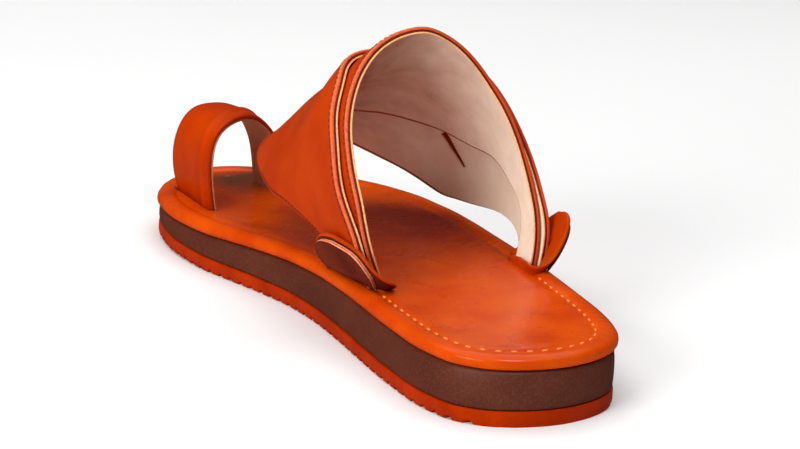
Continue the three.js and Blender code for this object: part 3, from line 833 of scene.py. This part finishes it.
def raw_last_point(turn, at):
    """The surface under the bands: turn -1 is the medial root, 0 the crown, 1 the lateral root."""
    turn, at = np.broadcast_arrays(np.asarray(turn, float), np.asarray(at, float))
    inner = turn < 0
    wall_x = np.where(inner, medial_x(at), lateral_x(at)) * sole_width
    wall = np.where(inner, medial(at), lateral(at)) * instep_rise
    root_x = np.where(inner, last_root_x["medial"], last_root_x["lateral"]) * sole_width
    power = 2 / np.where(inner, last_roundness["medial"], last_roundness["lateral"])
    middle = crown_x(at) * sole_width
    wall_height = footbed_top(at) + wall
    crown_height = footbed_top(at) + crown(at) * instep_rise
    away = np.abs(turn)
    angle = np.minimum(away / wall_turn, 1) * np.pi / 2
    x_up = middle + (wall_x - middle) * np.sin(angle) ** power
    z_up = wall_height + (crown_height - wall_height) * np.maximum(np.cos(angle), 0) ** power
    below = np.maximum(away - wall_turn, 0) / (1 - wall_turn)
    x_down = wall_x + (root_x - wall_x) * below**2
    z_down = mix(wall_height, footbed_floor(at), below)
    up = away <= wall_turn
    return stack(np.where(up, x_up, x_down), along_y(at), np.where(up, z_up, z_down))


def last_point(turn, at):
    """The last with the creases at its crown and walls rounded off."""
    turn, at = np.broadcast_arrays(np.asarray(turn, float), np.asarray(at, float))
    spread = np.array([-2.0, -1.0, 0.0, 1.0, 2.0]) * crease_ease
    weights = np.array([0.08, 0.24, 0.36, 0.24, 0.08])
    spread = spread * np.minimum(1, (1 - np.minimum(np.abs(turn), 1)) / crease_fade)[..., None]
    points = raw_last_point(turn[..., None] + spread, at[..., None])
    return (points * weights[:, None]).sum(axis=-2)


def last_normal(turn, at):
    across = last_point(turn + last_step, at) - last_point(turn - last_step, at)
    ahead = last_point(turn, at + last_step) - last_point(turn, at - last_step)
    return unit(np.cross(across, ahead))


def offset_last(turn, at, offset):
    return last_point(turn, at) + last_normal(turn, at) * np.asarray(offset)[..., None]


front_inner = layer_gap / 2
back_inner = -layer_gap / 2 - band_wall


def band_place(edges, along, share):
    """The turn and the share of the sole's length at a place of a band."""
    back_turn, back, front_turn, front = edges
    return mix(back_turn(along), front_turn(along), share), mix(back(along), front(along), share)


def band_point(edges, along, share, offset):
    turn, at = band_place(edges, along, share)
    point = offset_last(turn, at, offset)
    point[..., 2] = np.maximum(point[..., 2], footbed_floor(share_of(point[..., 1])))
    return point


def band_widths(edges, along):
    shares = np.linspace(0, 1, 30)
    points = band_point(edges, along[:, None], shares[None, :], 0.0)
    return np.linalg.norm(np.diff(points, axis=1), axis=-1).sum(axis=1)


def layer_profile(outer, inner, radius, steps, inset=0.0):
    """A layer's section: its place across, how far in from that edge, and its offset from the
    last. The outer face comes first, then the front edge, the inner face and the back edge."""
    corner = chamfer * radius
    shares = np.linspace(0, 1, steps + 1)[1:-1]
    turn = [(radius + inset, 0), (corner + inset, corner), (inset, radius)]
    edge = [(i, outer - d) for i, d in turn] + [(i, inner + d) for i, d in reversed(turn)]
    front = [(1, -i, offset) for i, offset in edge]
    back = [(0, i, offset) for i, offset in reversed(edge)]
    outer_face = [(s, 0, outer) for s in shares]
    inner_face = [(s, 0, inner) for s in reversed(shares)]
    kinds = ["face"] * len(outer_face) + ["front"] * 6 + ["inner"] * len(inner_face) + ["edge"] * 6
    return outer_face + front + inner_face + back, kinds


def layer(name, surface, section, indices):
    """One layer of a band or of the loop, swept along it. surface is its function of points, its
    widths and the places along it; indices has the material of each kind of side."""
    point, widths, along = surface
    profile, kinds = section
    base, inset, offset = (np.array(v, float) for v in zip(*profile))
    share = base[None, :] + inset[None, :] / widths[:, None]
    points = point(along[:, None], share, np.broadcast_to(offset, share.shape))
    indices = {"front": indices["edge"], **indices}
    made = sweep(name, points, [indices[kind] for kind in kinds] + [indices["edge"]])
    inside = np.clip(share, 0, 1)
    near = np.minimum(inside, 1 - inside) * widths[:, None]
    edge = made.data.attributes.new("edge", "FLOAT", "POINT")
    edge.data.foreach_set("value", near.astype(np.float32).ravel())
    return made


def slit_tool():
    turn, at, width = columns(slit_rows)
    along = np.linspace(0, 1, tool_rows)[:, None]
    half = width(along) * slit_width / 2 / sole_length
    sign = np.array([[-1, 1, 1, -1]])
    top, bottom = front_inner + 2 * band_wall, front_inner - band_wall
    offset = np.broadcast_to([[top, top, bottom, bottom]], (tool_rows, 4))
    points = offset_last(turn(along), at(along) + sign * half, offset)
    return sweep("slit_tool", points, [0] * 5)


def root_span(sign):
    """Where both bands' roots start and end on one side, as shares of the sole's length."""
    backs, fronts = [], []
    for rows in (front_band_rows, back_band_rows):
        back_turn, back, front_turn, front = columns(rows)
        along = np.linspace(0, 1, 251)
        backs.append(back(along[sign * back_turn(along) > root_turn]).min())
        fronts.append(front(along[sign * front_turn(along) > root_turn]).max())
    return min(backs), max(fronts)


roots = {side: root_span(sign) for side, sign in side_sign.items()}


def slot_points(surface, rows, start, end, outer, inner):
    """A cutter's sections: boxes across a surface between two places and two offsets."""
    line = np.linspace(start, end, tool_columns)
    shape = (len(rows), 2 * tool_columns)
    across = np.broadcast_to(np.r_[line, line[::-1]], shape)
    offset = np.broadcast_to(np.repeat([outer, inner], tool_columns), shape)
    return surface(rows[:, None], across, offset)


def root_tool(side, high, grow=1.0):
    """The space of both bands' roots on one side, with clearance all round."""
    back, front = roots[side]
    gap = grow * slot_gap
    margin = gap / sole_length
    turns = side_sign[side] * np.linspace(high, tool_end_turn, tool_rows)
    span = back - margin, front + margin, front_inner + band_wall + gap, back_inner - gap
    points = slot_points(offset_last, turns, *span)
    return sweep("root_tool", points, [0] * (2 * tool_columns + 1))


def stitch_row(name, points, normals, pitch, size, look, slot, sink):
    """Threads lying along a path. size is a thread's length, width and height, sink the share of
    that height below the path."""
    long, wide, high = size
    length = np.r_[0, np.cumsum(np.linalg.norm(np.diff(points, axis=0), axis=1))]
    count = int(length[-1] // pitch)
    wanted = (np.arange(count) + 0.5) * length[-1] / count

    def on_path(at, values):
        return np.column_stack([np.interp(at, length, column) for column in values.T])

    place = on_path(wanted, points)
    up = unit(on_path(wanted, normals))
    ahead = unit(on_path(wanted + 0.1 * mm, points) - place)
    side = unit(np.cross(up, ahead))
    rings, sides = 6, 8
    angle = math.pi * np.arange(rings + 1)[:, None] / rings
    turn = 2 * math.pi * np.arange(sides) / sides
    thick = np.sin(angle) ** thread_taper
    along = -np.cos(angle) * long / 2 + 0 * turn
    across = thick * np.cos(turn) * wide / 2
    above = thick * np.sin(turn) * high / 2 + high * (0.5 - sink)
    axes = np.stack([ahead, side, up], axis=1)
    stitch = np.stack([along, across, above], axis=-1).reshape(-1, 3)
    vertices = (place[:, None] + stitch @ axes).reshape(-1, 3)
    faces = []
    for start in range(0, len(vertices), len(stitch)):
        for a in range(start, start + rings * sides):
            b = a + 1 - (sides if (a + 1) % sides == 0 else 0)
            faces.append((a, b, b + sides, a + sides))
    dress(new_object(name, vertices, faces), slot, look)


def make_band(node, rows, inner):
    """A band of leather, dark core and lining. The core stays whole behind the slit."""
    edges = columns(rows, band_ease)
    spans = zip(rows, rows[1:])
    parts = [np.linspace(a[0], b[0], band_row_steps, endpoint=False) for a, b in spans]
    along = np.concatenate(parts + [[1.0]])
    surface = partial(band_point, edges), band_widths(edges, along), along
    outer = inner + band_wall
    split = inner + lining_wall
    below = outer - hide_wall
    same = {"face": 0, "edge": 1, "inner": 2}
    steps = band_face_steps
    section = layer_profile(outer, below, edge_radius["hide"], steps)
    hide = layer(f"{node}_leather", surface, section, same)
    top, bottom = below - glue_line, split + glue_line
    section = layer_profile(top, bottom, edge_radius["core"], steps, inset=core_inset)
    core = layer(f"{node}_core", surface, section, same)
    section = layer_profile(split, inner, edge_radius["lining"], steps)
    lining = layer(f"{node}_lining", surface, section, {"front": 3, **same})
    if node == "front_band":
        for piece in (hide, lining):
            carve(piece, [slit_tool()])
    dress(hide, "band_leather", band_leather, band_edge, glue_and_shade)
    # The core's dark colour is partly painted shade in its recess.
    dress(core, "band_leather", glue_and_shade, glue_and_shade, glue_and_shade)
    dress(lining, "band_leather", lining_edge, lining_edge, band_lining, lining_front_shade)
    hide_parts(node)
    return edges, outer


def band_seam(name, band, edge, inset, start, end):
    """A row of stitches on a band, at an inset from its edge 0 (back) or 1 (front)."""
    edges, outer = band
    along = np.linspace(start, end, 500)
    inset_share = inset / band_widths(edges, along)
    share = 1 - inset_share if edge else inset_share
    turn, at = band_place(edges, along, share)
    points = offset_last(turn, at, np.full(along.shape, outer))
    size = (1.6 * mm, 0.75 * mm, 0.35 * mm)
    normals = last_normal(turn, at)
    stitch_row(name, points, normals, 2.4 * mm, size, band_thread, "band_leather", sink=0.35)


# Big toe loop

loop_back_x, loop_back, loop_back_up, loop_widths, loop_front_x, loop_front_up = columns(
    loop_rows, loop_ease
)


def loop_point(along, share):
    at = loop_back(along) + share * loop_widths(along) * loop_width / sole_length
    x = mix(loop_back_x(along), loop_front_x(along), share) * sole_width
    up = mix(loop_back_up(along), loop_front_up(along), share)
    crowned = np.where(up > 0, loop_crown * np.sin(np.pi * np.clip(share, 0, 1)), 0)
    return stack(x, along_y(at), footbed_top(at) + up * loop_rise + crowned)


def loop_normal(along, share):
    after, before = np.minimum(along + loop_step, 1), np.maximum(along - loop_step, 0)
    around = loop_point(after, share) - loop_point(before, share)
    across = loop_point(along, share + loop_step) - loop_point(along, share - loop_step)
    return unit(np.cross(around, across))


def offset_loop(along, share, offset):
    return loop_point(along, share) + loop_normal(along, share) * np.asarray(offset)[..., None]


def loop_tool(start, end):
    """The space of one of the loop's feet, with clearance all round."""
    reach = loop_wall / 2 + slot_gap
    along = np.linspace(start, end, loop_tool_rows)
    low = -slot_gap / loop_width
    span = low, 1 - low, reach + loop_tool_extra, -reach
    points = slot_points(offset_loop, along, *span)
    points[0, :, 2] -= 1 * mm
    return sweep("loop_tool", points, [0] * (2 * tool_columns + 1))


def make_loop():
    along = np.linspace(0, 1, loop_steps)
    surface = offset_loop, loop_widths(along) * loop_width, along
    outer, inner = loop_wall / 2, -loop_wall / 2
    split = inner + loop_lining_wall
    # The border along the back edge: a rounded bead, a shallow groove and a soft ridge.
    border = [
        # inset and proud in mm
        (0.6, 0.05),
        (1.4, 0.2),
        (2.4, 0.3),
        (3.4, 0.25),
        (4.4, 0.1),
        (5.2, 0.15),
        (6.0, 0.5),
        (6.8, 0.85),
        (7.7, 0.8),
        (8.8, 0.35),
        (10.2, 0.0),
    ]
    steps = loop_face_steps
    profile, kinds = layer_profile(outer, split + glue_line, edge_radius["loop"], steps)
    kept = [p for p, k in zip(profile, kinds) if k == "face" and p[0] > border_end]
    raised = [(0, i * mm, outer + p * mm) for i, p in border]
    rest = [(p, k) for p, k in zip(profile, kinds) if k != "face"]
    shaped = raised + kept + [p for p, _ in rest]
    shaped_kinds = ["face"] * (len(raised) + len(kept)) + [k for _, k in rest]
    indices = {"face": 0, "edge": 0, "inner": 2}
    hide = layer("toe_loop_leather", surface, (shaped, shaped_kinds), indices)
    section = layer_profile(split, inner, 0.15 * mm, steps, inset=0.1 * mm)
    indices = {"face": 1, "edge": 1, "inner": 0}
    lining = layer("toe_loop_lining", surface, section, indices)
    dress(hide, "band_leather", band_leather, band_edge, glue_and_shade)
    dress(lining, "band_leather", loop_lining, loop_lining)
    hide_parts("toe_loop")


# Tabs


def tab_middle(side):
    """The x of the bands' middle where the tab goes round them."""
    back, front = roots[side]
    return last_point(side_sign[side] * tab_turn, (back + front) / 2)[0]


def tab_frame(side, angle):
    """At an angle round the tab, 0 being straight out: where its sheet starts, which way it
    runs, which way its thickness goes, and how far it reaches."""
    sign = side_sign[side]
    back, front = roots[side]
    heel_margin, front_margin = tab_margins[side]
    start = along_y(back) - heel_margin
    end = along_y(front) + front_margin
    half_width = band_wall + layer_gap / 2
    out, ahead = np.cos(angle), np.sin(angle)
    around = np.abs(np.arctan2(ahead, out)) / np.pi
    heel_reach, heel_rise, front_reach, front_rise = columns(tab_rows[side], tab_ease)
    share = step_up((ahead + tab_blend) / (2 * tab_blend))
    rise = np.radians(mix(heel_rise(around), front_rise(around), share))
    reach = mix(heel_reach(around), front_reach(around), share) * tab_reach[side]
    plan = unit(stack(sign * out, ahead * tab_end_flare, 0 * out))
    y = mix(start, end, (ahead + 1) / 2)
    sink_start, sink_end = tab_sink_span
    sunk = step_up((around - sink_start) / (sink_end - sink_start)) * tab_sink[side]
    seat = footbed_top(share_of(y)) + bead_rise + seat_gap - sunk
    x = tab_middle(side) + sign * (out * half_width + tab_skew * (ahead - 1) / 2)
    base = stack(x, y, seat + tab_wall * np.cos(rise))
    up = np.array([0, 0, 1])
    along = plan * np.cos(rise)[..., None] + up * np.sin(rise)[..., None]
    below = plan * np.sin(rise)[..., None] - up * np.cos(rise)[..., None]
    return base, along, below, reach


def tab_points(side, angle, share, depth):
    """A grid of places on the tab: angles by rows, shares of its reach and depths below its
    face by columns."""
    share, angle, depth = np.broadcast_arrays(share, angle, depth)
    base, along, below, reach = tab_frame(side, angle)
    flare = tab_flare * reach * share**2
    return base + along * (share * reach)[..., None] + below * (depth + flare)[..., None]


def make_tab(side):
    angle = np.linspace(0, 2 * np.pi, tab_columns, endpoint=False)[:, None]
    reach = tab_frame(side, angle[:, 0])[3][:, None]
    radius = tab_radius
    corner = chamfer * radius
    shares = np.linspace(0, tab_face_end, tab_rings)
    face = [(s, 0.0, 0.0) for s in shares]
    rim = [(1, -radius, 0.0), (1, -corner, corner), (1, 0.0, radius)]
    rim += [(1, inset, tab_wall - depth) for _, inset, depth in reversed(rim)]
    back = [(s, 0.0, tab_wall) for s in shares[::-1]]
    base, inset, depth = (np.array(v, float)[None, :] for v in zip(*face, *rim, *back))
    share = np.minimum(base, 1 - radius / reach) + (base == 1) * (inset + radius) / reach
    points = tab_points(side, angle, share, depth)
    sides = [0] * len(face + rim) + [1] * len(back)
    piece = sweep(f"tab_{side}_leather", points, sides, closed=True)
    if side == "lateral":
        # Finished leather on both faces of its low collar, at the foot's side.
        middle = tab_middle(side)
        for polygon in piece.data.polygons:
            if polygon.center.x < middle:
                polygon.material_index = 0
    carve(piece, [root_tool(side, tab_slot_turn, grow=0.8)])
    dress(piece, "footbed_leather", tab_leather, backing_suede)
    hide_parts(f"tab_{side}")


def make_backing_layer(side, number, start, wall, look):
    """A layer glued under a tab, a flap that ends short of the tab's rim."""
    place = np.linspace(-1, 1, backing_columns)[:, None]
    end = start + wall
    radius = min(backing_radius, wall / 3)
    rim = backing_reach + backing_bulge
    count = 10
    shares = np.linspace(backing_start, backing_reach, count)
    profile = [(s, start) for s in shares] + [(rim, start + radius), (rim, end - radius)]
    profile += [(s, end) for s in shares[::-1]]
    share, depth = (np.array(v)[None, :] for v in zip(*profile))
    share = share * (1 - backing_rounding * np.abs(place) ** 6)
    points = tab_points(side, place * backing_span * np.pi, share, depth)
    sides = [0] * (count - 1) + [1] * 3 + [0] * count + [1]
    piece = sweep(f"tab_{side}_layer_{number}", points, sides)
    dress(piece, "backing_leather", look, tab_edge)
    return piece


def make_backing(side):
    start = tab_wall + backing_gaps[0]
    make_backing_layer(side, 1, start, backing_walls[0], glue_and_shade)
    start += backing_walls[0] + backing_gaps[1]
    piece = make_backing_layer(side, 2, start, backing_walls[1], backing_suede)
    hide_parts(f"tab_{side}_backing")


make_outsole()
make_midsole()
make_footbed()
back_band = make_band("back_band", back_band_rows, back_inner)
front_band = make_band("front_band", front_band_rows, front_inner)
make_loop()
for side in side_sign:
    make_tab(side)
    make_backing(side)

band_seam("front_band_back_seam", front_band, 0, 2.0 * mm, 0.05, 0.95)
band_seam("back_band_back_seam", back_band, 0, 2.0 * mm, 0.05, 0.95)
band_seam("front_band_front_seam", front_band, 1, 1.6 * mm, 0.08, 0.92)


def make_seam():
    """The stitches round the footbed, left out under the tabs and in front of them."""
    plan = outline_point(np.linspace(0, 2, 1601)[:-1], seam_inset)
    at = share_of(plan[:, 1])
    points = np.column_stack([plan, footbed_top(at) - seam_depth])
    normals = np.tile([0.0, 0.0, 1.0], (len(points), 1))
    covered = at > seam_end
    for side, sign in side_sign.items():
        back, front = roots[side]
        heel_reach, front_reach = ((m + tab_clearance) / sole_length for m in tab_margins[side])
        near = (at > back - heel_reach) & (at < front + front_reach)
        covered |= near & (sign * plan[:, 0] > 0)
    runs = np.flatnonzero(np.diff(np.r_[1, covered.astype(int), 1]))
    parts = [slice(a, b) for a, b in zip(runs[::2], runs[1::2]) if b - a > 8]
    size = (2.2 * mm, 1.05 * mm, 0.8 * mm)
    slot = "footbed_leather"
    for number, part in enumerate(parts):
        name = f"footbed_seam_{number}"
        stitch_row(name, points[part], normals[part], 4.9 * mm, size, seam_thread, slot, sink=0.2)


make_seam()


# Stage

fill_light = 0.06
camera_place = Vector((-389.55, -812.61, 287.71)) * mm
camera_turn = (26.105, 15.986, 2.238)
camera_lens = 114.38


def make_floor():
    size = 4.0
    corners = [(-size, -size, 0), (size, -size, 0), (size, size, 0), (-size, size, 0)]
    floor = new_object("floor", corners, [(0, 1, 2, 3)], smooth=False)
    look = Look("floor_paint")
    stops = [(0.3, (0.93, 0.93, 0.93, 1)), (0.7, (0.96, 0.96, 0.96, 1))]
    look.set(base=look.ramp(look.noise(0.4, detail=2), stops), rough=0.9, specular=0.1)
    floor.data.materials.append(look.material)


def make_surround():
    """Dark cards round the table, seen only in reflections, as studios use on glossy leather."""
    radius, height, sides = 0.55, 0.42, 48
    angle = np.linspace(0, 2 * np.pi, sides, endpoint=False)
    circle = stack(np.cos(angle) * radius, np.sin(angle) * radius, 0.4 * mm)
    points = np.vstack([circle, circle])
    points[sides:, 2] = height
    faces = [(i, (i + 1) % sides, sides + (i + 1) % sides, sides + i) for i in range(sides)]
    faces.append(tuple(range(sides)))
    cards = new_object("dark_cards", points, faces, smooth=False)
    look = Look("card_felt")
    stops = [(0.3, (0.05, 0.04, 0.04, 1)), (0.7, (0.07, 0.06, 0.06, 1))]
    look.set(base=look.ramp(look.noise(10 * mm), stops), rough=1.0, specular=0.0)
    cards.data.materials.append(look.material)
    for rays in ("camera", "diffuse", "shadow", "transmission"):
        setattr(cards, f"visible_{rays}", False)


def area_light(name, place, target, size, power):
    light = bpy.data.lights.new(name, "AREA")
    light.shape = "RECTANGLE"
    light.size, light.size_y = size
    light.energy = power
    lamp = link_object(name, light)
    lamp.location = place
    lamp.rotation_euler = (Vector(target) - Vector(place)).to_track_quat("-Z", "Y").to_euler()
    return lamp


def make_world():
    """White to the camera and a dim fill for all else."""
    world = bpy.data.worlds.new("studio")
    bpy.context.scene.world = world
    world.use_nodes = True
    nodes, links = world.node_tree.nodes, world.node_tree.links
    seen = nodes["Background"]
    seen.inputs["Color"].default_value = (1, 1, 1, 1)
    dim = nodes.new("ShaderNodeBackground")
    dim.inputs["Color"].default_value = (1.0, 0.96, 0.93, 1)
    dim.inputs["Strength"].default_value = fill_light
    path = nodes.new("ShaderNodeLightPath")
    either = nodes.new("ShaderNodeMixShader")
    links.new(path.outputs["Is Camera Ray"], either.inputs[0])
    links.new(dim.outputs[0], either.inputs[1])
    links.new(seen.outputs[0], either.inputs[2])
    links.new(either.outputs[0], nodes["World Output"].inputs[0])


def make_camera():
    azimuth, elevation, roll = (math.radians(v) for v in camera_turn)
    level = Vector((math.sin(azimuth), math.cos(azimuth), 0))
    ahead = level * math.cos(elevation) - Vector((0, 0, math.sin(elevation)))
    flat = Vector((math.cos(azimuth), -math.sin(azimuth), 0))
    rise = flat.cross(ahead)
    right = flat * math.cos(roll) + rise * math.sin(roll)
    up = rise * math.cos(roll) - flat * math.sin(roll)
    data = bpy.data.cameras.new("camera")
    data.sensor_fit = "HORIZONTAL"
    data.sensor_width = 36
    data.lens = camera_lens
    data.clip_start = 10 * mm
    camera = link_object("camera", data)
    turned = Matrix((right, up, -ahead)).transposed().to_4x4()
    camera.matrix_world = Matrix.Translation(camera_place) @ turned
    bpy.context.scene.camera = camera


make_floor()
make_surround()
make_world()
area_light("top", (-0.1, 0.0, 1.6), (-0.1, 0, 0), (2.6, 2.6), 42)
area_light("left", (-1.25, -0.6, 0.6), (0, 0, 0.04), (0.8, 0.6), 14)
shine = area_light("shine", (-0.22, -1.15, 1.35), (0, -0.13, 0.02), (0.5, 0.14), 14)
shine.visible_diffuse = False
make_camera()
bpy.context.scene.view_settings.view_transform = "Standard"

bpy.context.view_layer.update()
